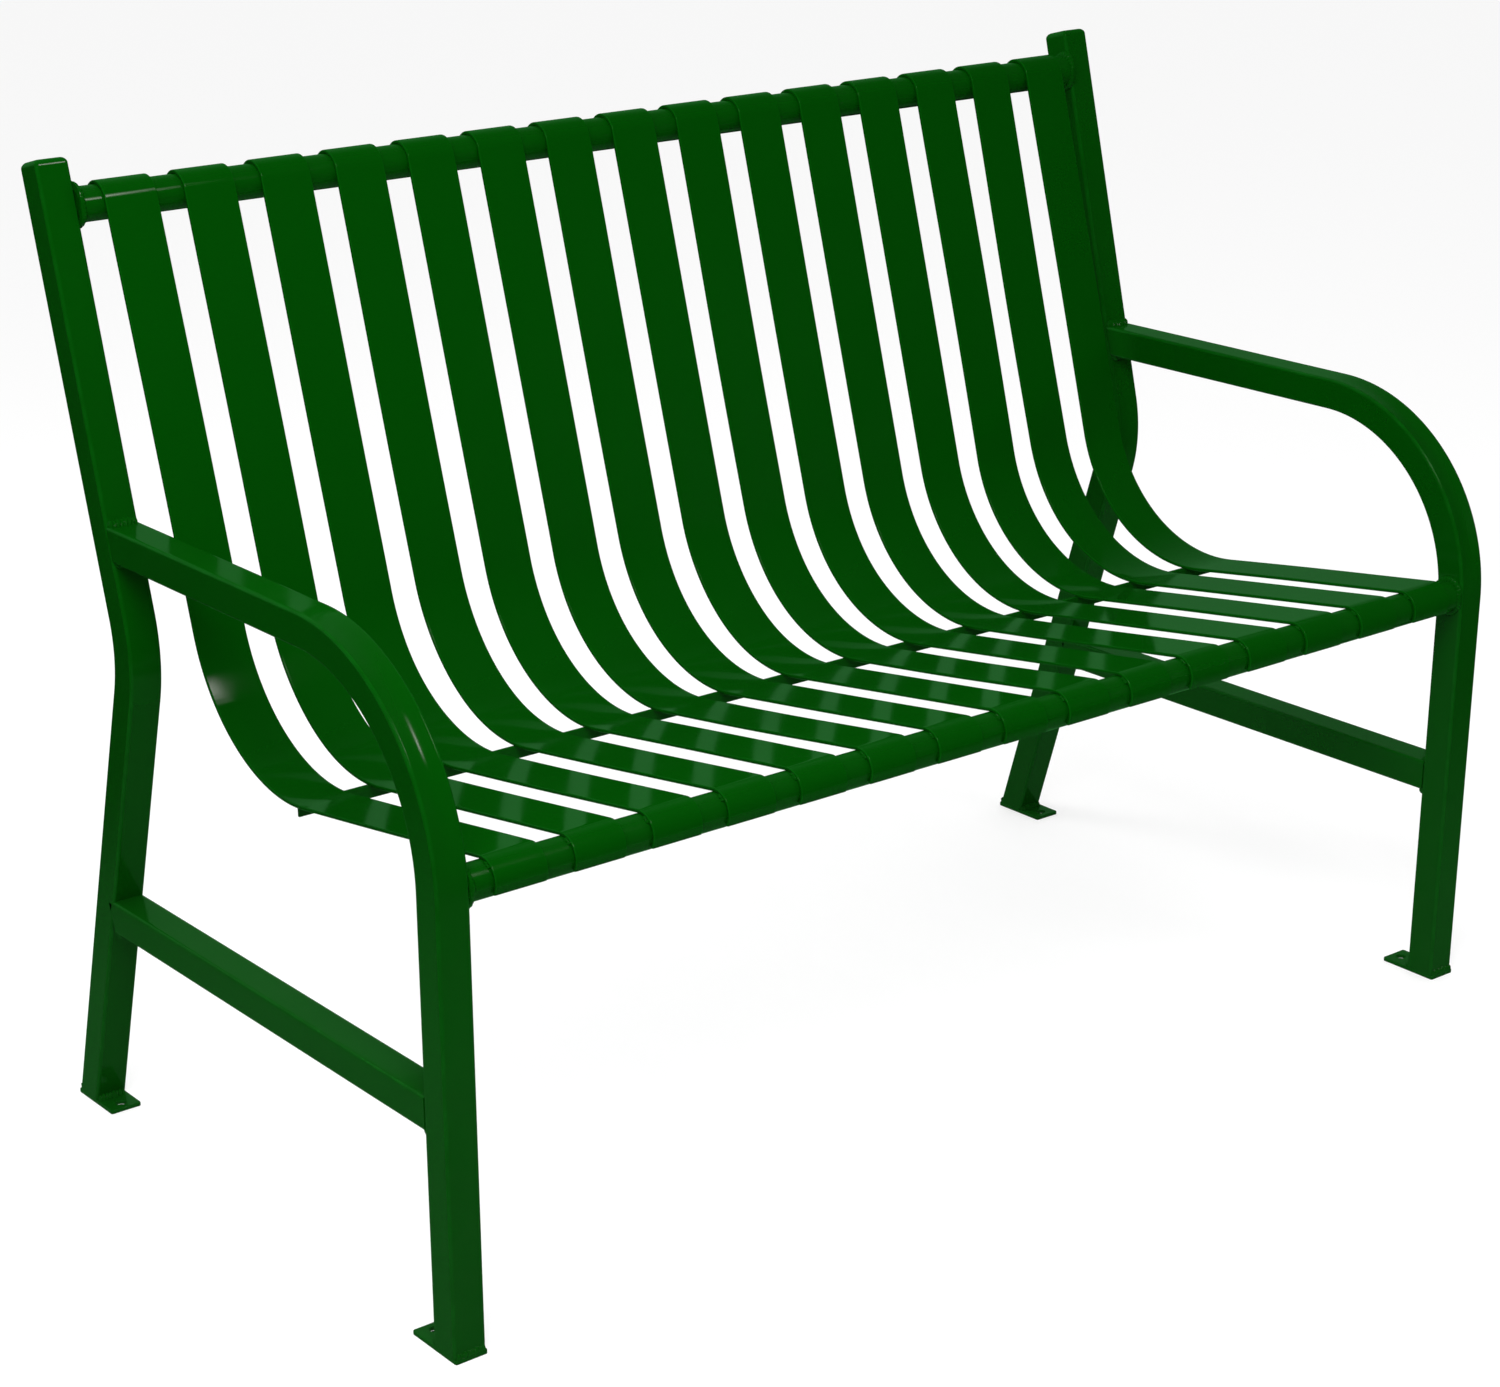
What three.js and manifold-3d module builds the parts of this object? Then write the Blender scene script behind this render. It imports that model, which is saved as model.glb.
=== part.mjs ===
// A park bench of welded steel. Two side frames are bent from square tube: a rear post, a front
// leg that turns over into the armrest, and a stretcher between them. Two round rails join the
// frames, and fifteen flat straps hang from the top rail, run down the back, turn through one
// wide curve and run forward over the seat to the front rail.
// Millimetres. +X runs along the bench, -Y is the front, +Z is up. The origin is on the ground
// at the middle of the bench.

import * as THREE from "three";
import { mergeVertices } from "three/addons/utils/BufferGeometryUtils.js";
import Module from "manifold-3d";

const wasm = await Module();
wasm.setup();

const degrees = THREE.MathUtils.degToRad;

// Overall size
const WIDTH = 1245;
const DEPTH = 680;
const HEIGHT = 920;

// Stock that the bench is made from
const TUBE = 31.75;
const TUBE_WALL = 2.1;
const TUBE_CORNER = 3;
const RAIL_RADIUS = 15.875;
const RAIL_WALL = 2.1;
const STRAP_WIDTH = 50.8;
const STRAP_THICKNESS = 3.2;
const BAR_HEIGHT = 12.7;
const BAR_THICKNESS = 3.2;
const PLATE_LENGTH = 67;
const PLATE_THICKNESS = 4;
const CAP_THICKNESS = 3;
const WELD_GAP = 0.3;

// Rear post: it leans back above its bend and splays back below it
const POST_LEAN = degrees(13.7);
const POST_SPLAY = degrees(18);
const POST_BEND_Z = 486;
const POST_BEND_RADIUS = 140;

// Front leg and armrest, one tube
const LEG_LEAN = degrees(1.2);
const ARM_Z = 592.5;
const ARM_BEND_RADIUS = 176;

const STRETCHER_Z = 219.7;
const FRONT_RAIL_Z = 418;
const TOP_RAIL_Z = 877;
const TOP_RAIL_FORWARD = 8; // the rail's axis stands this far ahead of the posts' axes

// Straps
const STRAP_COUNT = 15;
const STRAP_PITCH = 77.65;
const BACK_LEAN = degrees(15.3);
const SEAT_FALL = degrees(8.3); // the seat falls towards the back
const STRAP_BEND_RADIUS = 160; // of the underside
const FRONT_WRAP = degrees(130); // how far a strap turns round the front rail
const TOP_WRAP = degrees(180);
const BAR_INSET = 8; // how far the support bar stops inside the outer straps' outer edges

// Foot plates stand this far past the tube's outer face.
const FRONT_PLATE_EDGE = 2.5;
const REAR_PLATE_EDGE = 1;
const HOLE_RADIUS = 4.8;
const HOLE_TO_END = 11;

// How many steps each bend gets
const ARM_STEPS = 10;
const POST_STEPS = 5;

// Where the tubes' centre lines run, in the plane of a side frame. A point there is (y, z).
const point = (y, z) => new THREE.Vector2(y, z);
const frontRail = point(-DEPTH / 2 + STRAP_THICKNESS + WELD_GAP + RAIL_RADIUS, FRONT_RAIL_Z);
const legY = (z) => frontRail.x - (z - FRONT_RAIL_Z) * Math.tan(LEG_LEAN);
const postFootY = DEPTH / 2 - REAR_PLATE_EDGE - TUBE / 2 / Math.cos(POST_SPLAY);
const postBendY = postFootY - POST_BEND_Z * Math.tan(POST_SPLAY);
const postY = (z) =>
  z > POST_BEND_Z
    ? postBendY + (z - POST_BEND_Z) * Math.tan(POST_LEAN)
    : postBendY + (POST_BEND_Z - z) * Math.tan(POST_SPLAY);
const topRail = point(postY(TOP_RAIL_Z) - TOP_RAIL_FORWARD, TOP_RAIL_Z);
const capTopZ = HEIGHT - (TUBE / 2) * Math.sin(POST_LEAN);
const FRAME_X = WIDTH / 2 - TUBE / 2;
const INNER_X = WIDTH / 2 - TUBE;

// Takes (shape x, shape y, extrusion) to (world y, world z, world x).
const SIDE_VIEW = new THREE.Matrix4().makeBasis(
  new THREE.Vector3(0, 1, 0),
  new THREE.Vector3(0, 0, 1),
  new THREE.Vector3(1, 0, 0),
);

// Glossy powder coat, one colour on every piece.
const powderCoat = () =>
  new THREE.MeshStandardMaterial({ color: 0x004d08, roughness: 0.28, metalness: 0 });

const bench = new THREE.Group();
bench.name = "strap_bench";

function add(name, geometry) {
  const mesh = new THREE.Mesh(geometry, powderCoat());
  mesh.name = name;
  bench.add(mesh);
  return mesh;
}

// ---- Solids that are cut by planes ----

function toSolid(geometry) {
  const bare = geometry.clone();
  bare.deleteAttribute("normal");
  bare.deleteAttribute("uv");
  const merged = mergeVertices(bare, 1e-3);
  const mesh = new wasm.Mesh({
    numProp: 3,
    vertProperties: new Float32Array(merged.attributes.position.array),
    triVerts: new Uint32Array(merged.index.array),
  });
  return new wasm.Manifold(mesh);
}

function toGeometry(solid) {
  const mesh = solid.getMesh();
  const geometry = new THREE.BufferGeometry();
  geometry.setAttribute("position", new THREE.BufferAttribute(mesh.vertProperties, 3));
  geometry.setIndex(new THREE.BufferAttribute(mesh.triVerts, 1));
  geometry.computeVertexNormals();
  return geometry;
}

// A block that covers everything beyond a plane through (y, z) whose outward normal is at this
// angle above +Y.
function beyond(y, z, angle) {
  const size = 300;
  const block = new THREE.BoxGeometry(size, size, size);
  block.translate(0, size / 2, 0);
  block.rotateX(angle);
  block.translate(0, y, z);
  return toSolid(block);
}

function cut(geometry, ...blocks) {
  return toGeometry(blocks.reduce((solid, block) => solid.subtract(block), toSolid(geometry)));
}

// ---- Bent square tube ----

// The stations of a bent centre line. ExtrudeGeometry sets one section on each of them.
class Stations extends THREE.Curve {
  constructor() {
    super();
    this.places = [];
    this.directions = [];
  }

  push(place, direction) {
    this.places.push(new THREE.Vector3(0, place.x, place.y));
    this.directions.push(new THREE.Vector3(0, direction.x, direction.y));
  }

  index(u) {
    return Math.round(u * (this.places.length - 1));
  }

  getPointAt(u) {
    return this.places[this.index(u)].clone();
  }

  getTangentAt(u) {
    return this.directions[this.index(u)].clone();
  }
}

// A straight run from start to corner, a bend there, and a straight run on to end.
function bentLine(start, corner, end, radius, steps) {
  const into = corner.clone().sub(start).normalize();
  const out = end.clone().sub(corner).normalize();
  const turn = Math.acos(into.dot(out));
  const side = Math.sign(into.cross(out));
  const reach = radius * Math.tan(turn / 2);
  const normal = point(-into.y, into.x).multiplyScalar(side);
  const first = corner.clone().addScaledVector(into, -reach);
  const centre = first.clone().addScaledVector(normal, radius);
  const line = new Stations();
  line.push(start, into);
  for (let i = 0; i <= steps; i++) {
    const angle = (side * turn * i) / steps;
    const place = first.clone().rotateAround(centre, angle);
    line.push(place, into.clone().rotateAround(point(0, 0), angle));
  }
  line.push(end, out);
  return line;
}

function straightLine(start, end) {
  const direction = end.clone().sub(start).normalize();
  const line = new Stations();
  line.push(start, direction);
  line.push(end, direction);
  return line;
}

function roundedSquare(path, half, radius) {
  const middle = half - radius;
  const turn = Math.PI / 2;
  path.absarc(middle, middle, radius, 0, turn);
  path.absarc(-middle, middle, radius, turn, 2 * turn);
  path.absarc(-middle, -middle, radius, 2 * turn, 3 * turn);
  path.absarc(middle, -middle, radius, 3 * turn, 4 * turn);
  path.closePath();
  return path;
}

function squareTube(line) {
  const section = roundedSquare(new THREE.Shape(), TUBE / 2, TUBE_CORNER);
  section.holes.push(roundedSquare(new THREE.Path(), TUBE / 2 - TUBE_WALL, TUBE_CORNER - TUBE_WALL));
  return new THREE.ExtrudeGeometry(section, {
    extrudePath: line,
    steps: line.places.length - 1,
    curveSegments: 1,
  });
}

// ---- Side frames ----

// The block under both feet of a frame.
function floorCut() {
  const block = new THREE.BoxGeometry(2 * TUBE, 2 * DEPTH, 2 * TUBE);
  block.translate(0, 0, PLATE_THICKNESS + WELD_GAP - TUBE);
  return toSolid(block);
}

function rearPost() {
  const capUnder = capTopZ - (CAP_THICKNESS + WELD_GAP) * Math.cos(POST_LEAN);
  const line = bentLine(
    point(postY(0), 0),
    point(postBendY, POST_BEND_Z),
    point(postY(capUnder), capUnder),
    POST_BEND_RADIUS,
    POST_STEPS,
  );
  return cut(squareTube(line), floorCut());
}

function armLeg() {
  const line = bentLine(
    point(legY(0), 0),
    point(legY(ARM_Z), ARM_Z),
    point(postY(ARM_Z), ARM_Z),
    ARM_BEND_RADIUS,
    ARM_STEPS,
  );
  const faceY = postY(ARM_Z) - TUBE / 2 / Math.cos(POST_LEAN) - WELD_GAP;
  return cut(squareTube(line), floorCut(), beyond(faceY, ARM_Z, -POST_LEAN));
}

function stretcher() {
  const line = straightLine(
    point(legY(STRETCHER_Z), STRETCHER_Z),
    point(postY(STRETCHER_Z), STRETCHER_Z),
  );
  const legFaceY = legY(STRETCHER_Z) + TUBE / 2 / Math.cos(LEG_LEAN) + WELD_GAP;
  const postFaceY = postY(STRETCHER_Z) - TUBE / 2 / Math.cos(POST_SPLAY) - WELD_GAP;
  return cut(
    squareTube(line),
    beyond(legFaceY, STRETCHER_Z, Math.PI + LEG_LEAN),
    beyond(postFaceY, STRETCHER_Z, POST_SPLAY),
  );
}

// A flat plug, square to the leaning tube that it closes.
function postCap() {
  const outline = roundedSquare(new THREE.Shape(), TUBE / 2, TUBE_CORNER);
  const cap = new THREE.ExtrudeGeometry(outline, {
    depth: CAP_THICKNESS,
    bevelEnabled: false,
    curveSegments: 1,
  });
  cap.translate(0, 0, -CAP_THICKNESS);
  cap.rotateX(-POST_LEAN);
  cap.translate(0, postY(capTopZ), capTopZ);
  return cap;
}

// A strip with one bolt hole near its free end. It starts just past the tube's outer face, at
// outerY, and runs inwards under the bench; inward is +1 where that is towards +Y.
function footPlate(outerY, inward) {
  const middleY = outerY + (inward * PLATE_LENGTH) / 2;
  const outline = new THREE.Shape();
  outline.moveTo(-TUBE / 2, middleY - PLATE_LENGTH / 2);
  outline.lineTo(TUBE / 2, middleY - PLATE_LENGTH / 2);
  outline.lineTo(TUBE / 2, middleY + PLATE_LENGTH / 2);
  outline.lineTo(-TUBE / 2, middleY + PLATE_LENGTH / 2);
  outline.closePath();
  const hole = new THREE.Path();
  hole.absarc(0, outerY + inward * (PLATE_LENGTH - HOLE_TO_END), HOLE_RADIUS, 0, 2 * Math.PI);
  outline.holes.push(hole);
  return new THREE.ExtrudeGeometry(outline, {
    depth: PLATE_THICKNESS,
    bevelEnabled: false,
    curveSegments: 8,
  });
}

const frontPlateY = legY(0) - TUBE / 2 - FRONT_PLATE_EDGE;
for (const [side, x] of [
  ["left", -FRAME_X],
  ["right", FRAME_X],
]) {
  add(`${side}_rear_post`, rearPost()).position.x = x;
  add(`${side}_arm_leg`, armLeg()).position.x = x;
  add(`${side}_stretcher`, stretcher()).position.x = x;
  add(`${side}_post_cap`, postCap()).position.x = x;
  add(`${side}_front_foot_plate`, footPlate(frontPlateY, 1)).position.x = x;
  add(`${side}_rear_foot_plate`, footPlate(DEPTH / 2, -1)).position.x = x;
}

// ---- Rails ----

function rail(centre) {
  const ring = new THREE.Shape();
  ring.absarc(centre.x, centre.y, RAIL_RADIUS, 0, 2 * Math.PI);
  const bore = new THREE.Path();
  bore.absarc(centre.x, centre.y, RAIL_RADIUS - RAIL_WALL, 0, 2 * Math.PI);
  ring.holes.push(bore);
  const length = 2 * (INNER_X - WELD_GAP);
  const tube = new THREE.ExtrudeGeometry(ring, {
    depth: length,
    bevelEnabled: false,
    curveSegments: 12,
  });
  tube.translate(0, 0, -length / 2);
  return tube.applyMatrix4(SIDE_VIEW);
}

add("top_rail", rail(topRail));
add("front_rail", rail(frontRail));

// ---- Straps ----

// In the side view, "faceNormal" points out of the back's front face and "seatNormal" out of the
// seat's top face.
const faceNormal = point(-Math.cos(BACK_LEAN), Math.sin(BACK_LEAN));
const seatNormal = point(Math.sin(SEAT_FALL), Math.cos(SEAT_FALL));

// The curve's centre lies one bend radius in front of the back's underside line and as far above
// the seat's underside line; the two lines are tangent to the rails' outsides.
function curveCentre() {
  const reach = RAIL_RADIUS + WELD_GAP + STRAP_BEND_RADIUS;
  const a = topRail.dot(faceNormal) + reach;
  const b = frontRail.dot(seatNormal) + reach;
  const determinant = faceNormal.cross(seatNormal);
  return point(
    (a * seatNormal.y - b * faceNormal.y) / determinant,
    (b * faceNormal.x - a * seatNormal.x) / determinant,
  );
}

const strapCurve = curveCentre();

function strap() {
  const backAngle = faceNormal.angle();
  const seatAngle = seatNormal.angle();
  const inner = RAIL_RADIUS + WELD_GAP;
  const outer = inner + STRAP_THICKNESS;
  const outline = new THREE.Shape();
  const { x: topY, y: topZ } = topRail;
  const { x: frontY, y: frontZ } = frontRail;
  const { x: curveY, y: curveZ } = strapCurve;
  const faceRadius = STRAP_BEND_RADIUS - STRAP_THICKNESS;
  // Down the face that a sitter touches
  outline.absarc(topY, topZ, outer, backAngle - TOP_WRAP, backAngle, false);
  outline.absarc(curveY, curveZ, faceRadius, backAngle - Math.PI, seatAngle - Math.PI, true);
  outline.absarc(frontY, frontZ, outer, seatAngle, seatAngle + FRONT_WRAP, false);
  // and back along the hidden one
  outline.absarc(frontY, frontZ, inner, seatAngle + FRONT_WRAP, seatAngle, true);
  outline.absarc(curveY, curveZ, STRAP_BEND_RADIUS, seatAngle - Math.PI, backAngle - Math.PI, false);
  outline.absarc(topY, topZ, inner, backAngle, backAngle - TOP_WRAP, true);
  outline.closePath();
  const strip = new THREE.ExtrudeGeometry(outline, {
    depth: STRAP_WIDTH,
    bevelEnabled: false,
    curveSegments: 5,
  });
  strip.translate(0, 0, -STRAP_WIDTH / 2);
  return strip.applyMatrix4(SIDE_VIEW);
}

for (let i = 0; i < STRAP_COUNT; i++) {
  const number = String(i + 1).padStart(2, "0");
  add(`strap_${number}`, strap()).position.x = (i - (STRAP_COUNT - 1) / 2) * STRAP_PITCH;
}

// ---- Support bar: a flat bar on edge under the lowest line of the straps ----

const strapsWidth = (STRAP_COUNT - 1) * STRAP_PITCH + STRAP_WIDTH;
const barTopZ = strapCurve.y - STRAP_BEND_RADIUS - WELD_GAP;
const bar = new THREE.BoxGeometry(strapsWidth - 2 * BAR_INSET, BAR_THICKNESS, BAR_HEIGHT);
add("seat_support_bar", bar).position.set(0, strapCurve.x, barTopZ - BAR_HEIGHT / 2);

export default bench;
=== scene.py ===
# %% [markdown]
# # A park bench of welded steel, finished in green powder coat
#
# The real bench is stock steel and welding: two side frames of bent square tube, two round
# rails, fifteen flat straps and one flat bar, all dipped in the same gloss powder coat. The
# fixed frame holds the true size and place of every one of those pieces as plain faceted
# solids. Here each gets its rolled corners, its bends, its welds and its finish, and stays
# exactly where the frame says.

# %% Load the fixed frame
import math

import bpy
import numpy as np
from mathutils import Matrix, Vector


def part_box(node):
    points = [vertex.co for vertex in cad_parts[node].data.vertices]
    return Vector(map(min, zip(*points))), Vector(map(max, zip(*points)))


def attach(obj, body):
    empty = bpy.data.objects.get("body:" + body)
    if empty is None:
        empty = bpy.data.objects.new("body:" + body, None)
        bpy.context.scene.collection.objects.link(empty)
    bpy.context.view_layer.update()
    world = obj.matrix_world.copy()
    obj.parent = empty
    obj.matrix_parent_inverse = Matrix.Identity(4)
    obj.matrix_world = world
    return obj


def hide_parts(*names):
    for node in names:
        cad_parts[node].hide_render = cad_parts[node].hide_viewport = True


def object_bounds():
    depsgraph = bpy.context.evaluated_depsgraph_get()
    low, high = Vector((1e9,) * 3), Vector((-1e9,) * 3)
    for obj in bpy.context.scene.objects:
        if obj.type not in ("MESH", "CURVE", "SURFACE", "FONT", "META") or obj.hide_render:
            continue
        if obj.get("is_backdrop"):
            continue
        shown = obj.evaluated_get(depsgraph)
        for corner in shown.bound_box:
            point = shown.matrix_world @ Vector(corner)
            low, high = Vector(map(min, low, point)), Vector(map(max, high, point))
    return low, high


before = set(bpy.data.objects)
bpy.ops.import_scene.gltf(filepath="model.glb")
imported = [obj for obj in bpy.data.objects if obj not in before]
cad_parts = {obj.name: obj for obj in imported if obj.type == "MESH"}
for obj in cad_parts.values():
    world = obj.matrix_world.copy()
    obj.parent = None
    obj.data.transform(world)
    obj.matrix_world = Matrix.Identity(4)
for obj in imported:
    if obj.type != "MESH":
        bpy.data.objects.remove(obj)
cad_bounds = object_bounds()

print("nodes in the frame:", len(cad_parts))
print("size of the bench in metres:", [round(v, 4) for v in cad_bounds[1] - cad_bounds[0]])

# %% [markdown]
# ## The camera
#
# A catalogue view: the camera stands ahead of the bench's left end, a little above the top
# rail, and looks along the seat and down. A long lens keeps the far armrest large. The small
# shift slides the bench inside the picture without turning the camera, so uprights keep the
# lean that they have.

# %% Camera
CAMERA_PLACE = Vector((-1.8542, -2.3259, 1.3855))
CAMERA_HEADING = math.radians(38.255)
CAMERA_TILT = math.radians(20.309)
CAMERA_ROLL = math.radians(-0.706)
SENSOR_WIDTH = 36.0
LENS_LENGTH = 77.45
LENS_SHIFT = (-0.0159, 0.0497)

camera_data = bpy.data.cameras.new("bench_camera")
camera_data.sensor_width = SENSOR_WIDTH
camera_data.lens = LENS_LENGTH
camera_data.shift_x, camera_data.shift_y = LENS_SHIFT
camera = bpy.data.objects.new("bench_camera", camera_data)
heading = Matrix.Rotation(-CAMERA_HEADING, 4, "Z")
tilt = Matrix.Rotation(math.pi / 2 - CAMERA_TILT, 4, "X")
roll = Matrix.Rotation(CAMERA_ROLL, 4, "Z")
camera.matrix_world = Matrix.Translation(CAMERA_PLACE) @ heading @ tilt @ roll
bpy.context.scene.collection.objects.link(camera)
bpy.context.scene.camera = camera
print("camera looks along", [round(v, 4) for v in -camera.matrix_world.col[2].xyz])

# %% [markdown]
# ## Sizes, read from the frame
#
# The side view of the bench is a drawing in the Y-Z plane, and complex numbers suit it well:
# a point is y + z * 1j, and turning a direction is one multiplication. The rails' centres, the
# tube's side and the plates' heights come from the boxes of the frame's nodes. Only what a box
# can't tell is written here: wall angles, bend radii and corner radii.

# %% Sizes in metres
MM = 0.001


def box_middle(node):
    """Middle of a node's box, as a vector."""
    low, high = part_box(node)
    return (low + high) / 2


def box_size(node):
    """Lengths of a node's box along X, Y and Z, as a vector."""
    low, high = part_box(node)
    return high - low


TUBE = box_size("left_stretcher").x
TUBE_HALF = TUBE / 2
TUBE_CORNER = 3 * MM
PLATE_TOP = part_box("left_front_foot_plate")[1].z
RAIL_RADIUS = box_size("top_rail").z / 2
front_rail = complex(*box_middle("front_rail").yz)
top_rail = complex(*box_middle("top_rail").yz)

POST_LEAN = math.radians(13.7)
POST_SPLAY = math.radians(18)
POST_BEND_Z = 486 * MM
POST_BEND_RADIUS = 140 * MM
TOP_RAIL_FORWARD = 8 * MM
LEG_LEAN = math.radians(1.2)
ARM_BEND_RADIUS = 176 * MM
ARM_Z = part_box("left_arm_leg")[1].z - TUBE_HALF
STRETCHER_Z = box_middle("left_stretcher").z

post_bend_y = top_rail.real + TOP_RAIL_FORWARD - (top_rail.imag - POST_BEND_Z) * math.tan(POST_LEAN)


def post_axis(z):
    """The rear post's axis at height z: it leans back above its bend and splays back below it."""
    slope = math.tan(POST_LEAN) if z > POST_BEND_Z else -math.tan(POST_SPLAY)
    return complex(post_bend_y + (z - POST_BEND_Z) * slope, z)


def leg_axis(z):
    """The front leg's axis at height z; it crosses the front rail's axis."""
    return complex(front_rail.real - (z - front_rail.imag) * math.tan(LEG_LEAN), z)


print("tube", round(TUBE / MM, 2), "mm, rails", round(2 * RAIL_RADIUS / MM, 2), "mm")
print("arm axis", round(ARM_Z / MM, 1), "mm, stretcher axis", round(STRETCHER_Z / MM, 1), "mm up")

# %% [markdown]
# ## From rings of points to a closed skin
#
# Every piece here is the same idea: a closed outline, carried along a path, gives a grid of
# points, one row for each station. Neighbouring points make a quad. A sweep with two ends gets
# a flat face on each, and one that comes back to its start gets none. Blender could do this
# with a curve and a bevel object, but an array keeps each corner exactly where a dimension puts
# it, and lets a row be trimmed, sunk or rippled before it becomes a mesh.
#
# A point attribute called "edge" says how near a point is to a rolled corner or a rim. The
# finish reads it, because powder coat runs thin there.

# %% Grid to mesh
SHARP_ANGLE = math.radians(38)


def quad_indices(rows, columns, loop):
    """Corners of the quad that starts at each grid point. Columns always close on themselves;
    rows do where loop is true."""
    bands = rows if loop else rows - 1
    row, column = np.meshgrid(np.arange(bands), np.arange(columns), indexing="ij")
    next_row = (row + 1) % rows
    next_column = (column + 1) % columns
    corners = [row * columns + column, row * columns + next_column,
               next_row * columns + next_column, next_row * columns + column]
    return np.stack(corners, axis=-1).reshape(-1, 4)


def signed_volume(points, quads):
    """Sum over the triangles of a . (b x c) / 6. It is positive where the faces point out."""
    a, b, c, d = (points[quads[:, i]] for i in range(4))
    doubled_areas = np.cross(b, c) + np.cross(c, d)
    return float(np.einsum("ij,ij->i", a, doubled_areas).sum() / 6)


def skin(name, rings, edge=0.0, loop=False):
    """Makes a closed mesh object from rings[station, point, xyz], with its faces pointing out."""
    rows, columns = rings.shape[:2]
    points = rings.reshape(-1, 3)
    quads = quad_indices(rows, columns, loop)
    ends = []
    middle = points.mean(axis=0)
    volume = signed_volume(points - middle, quads)
    if not loop:
        ends = [np.arange(columns)[::-1], np.arange(columns) + (rows - 1) * columns]
        for end in ends:
            fan = points[end] - middle
            spokes = np.cross(fan[1:-1], fan[2:])
            volume += float((spokes @ fan[0]).sum() / 6)
    turn = 1 if volume > 0 else -1
    faces = quads[:, ::turn].tolist() + [end[::turn].tolist() for end in ends]
    mesh = bpy.data.meshes.new(name)
    mesh.from_pydata(points.tolist(), [], faces)
    weights = np.broadcast_to(edge, (rows, columns)).ravel().astype(np.float32)
    mesh.attributes.new("edge", "FLOAT", "POINT").data.foreach_set("value", weights)
    mesh.shade_smooth()
    mesh.set_sharp_from_angle(angle=SHARP_ANGLE)
    piece = bpy.data.objects.new(name, mesh)
    bpy.context.scene.collection.objects.link(piece)
    return piece


def join_pieces(name, pieces):
    """One object out of several, for beads that a welder lays in one go."""
    meshes = [piece.data for piece in pieces]
    with bpy.context.temp_override(active_object=pieces[0], selected_editable_objects=pieces):
        bpy.ops.object.join()
    for mesh in meshes[1:]:
        bpy.data.meshes.remove(mesh)
    pieces[0].name = name
    pieces[0].data.name = name
    return pieces[0]


def box_error(piece, node):
    """Largest distance, in millimetres, between a piece's box and its node's box."""
    points = np.empty(len(piece.data.vertices) * 3)
    piece.data.vertices.foreach_get("co", points)
    points = points.reshape(-1, 3)
    low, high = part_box(node)
    return max(np.abs(points.min(0) - low).max(), np.abs(points.max(0) - high).max()) / MM


made = {}


def stand_for(piece, slot, *nodes):
    """Ties a finished piece to the bench's one body and the nodes that it shows, and prints how
    well its box fits theirs. The slot, the name of its finish, is not used."""
    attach(piece, "root")
    if nodes:
        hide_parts(*nodes)
    made[piece.name] = len(piece.data.polygons)
    for node in nodes:
        error = round(box_error(piece, node), 2)
        print(piece.name, "differs from its node's box by", error, "mm")


# %% [markdown]
# ## Outlines and paths
#
# A square tube is rolled from strip, so its corners are arcs of about one and a half wall
# thicknesses. Each face has a few points across it, because a bend pulls the faces out of
# flat, and a pair of points close to each arc, so that smooth shading stays inside the arc.

# %% Outlines
def quarter_turns(quarter):
    """An outline with four equal quarters: the first one, turned by 0, 90, 180 and 270 degrees."""
    return np.concatenate([quarter * 1j**k for k in range(4)])


def square_outline(half, corner, arc_steps=6, face_points=7):
    """Square with rounded corners, as across + outward * 1j, and its edge weights. Each quarter
    is a face at across = half, then an arc of the corner radius about (half - corner)(1 + 1j)."""
    flat = half - corner
    face = half + 1j * np.linspace(-0.97 * flat, 0.97 * flat, face_points)
    turn = np.linspace(0, math.pi / 2, arc_steps + 1)
    arc = flat * (1 + 1j) + corner * np.exp(1j * turn)
    weights = np.concatenate([np.zeros(face_points), np.sin(2 * turn) * 0.7 + 0.3])
    return quarter_turns(np.concatenate([face, arc])), np.tile(weights, 4)


def strip_outline(width, thickness, corner, arc_steps=4, face_points=9):
    """Flat bar with rounded edges, as across + outward * 1j, and its edge weights. It is the
    square outline's recipe with two long faces and two short ones."""
    turn = np.linspace(0, math.pi / 2, arc_steps + 1)
    arc = corner * np.exp(1j * turn)
    tall = thickness / 2 - corner
    wide = width / 2 - corner
    across = np.linspace(0.985 * wide, -0.985 * wide, face_points)
    first = wide + 1j * tall + arc
    second = -wide + 1j * tall + 1j * arc
    top = np.concatenate([first, across + 1j * thickness / 2, second])
    edge = np.concatenate([np.sin(turn), np.zeros(face_points), np.cos(turn)])
    return np.concatenate([top, -top]), np.tile(edge, 2)


def arc_path(centre, radius, start, sweep, steps):
    """Places centre + radius * e^(i a) for a from start through sweep, and the unit directions
    of travel there."""
    spokes = np.exp(1j * (start + sweep * np.linspace(0, 1, steps + 1)))
    return centre + radius * spokes, 1j * np.sign(sweep) * spokes


def straight_path(start, end, fractions):
    """Places at those fractions of the way from start to end, and the direction, repeated."""
    direction = (end - start) / abs(end - start)
    places = start + (end - start) * np.asarray(fractions)
    return places, np.full(len(places), direction)


def one_path(runs):
    """The places of several runs in one array, and their directions in another."""
    return np.concatenate([run[0] for run in runs]), np.concatenate([run[1] for run in runs])


RUN_IN = (0, 0.35, 0.7, 0.985)
RUN_OUT = (0.015, 0.3, 0.65, 1)


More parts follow.
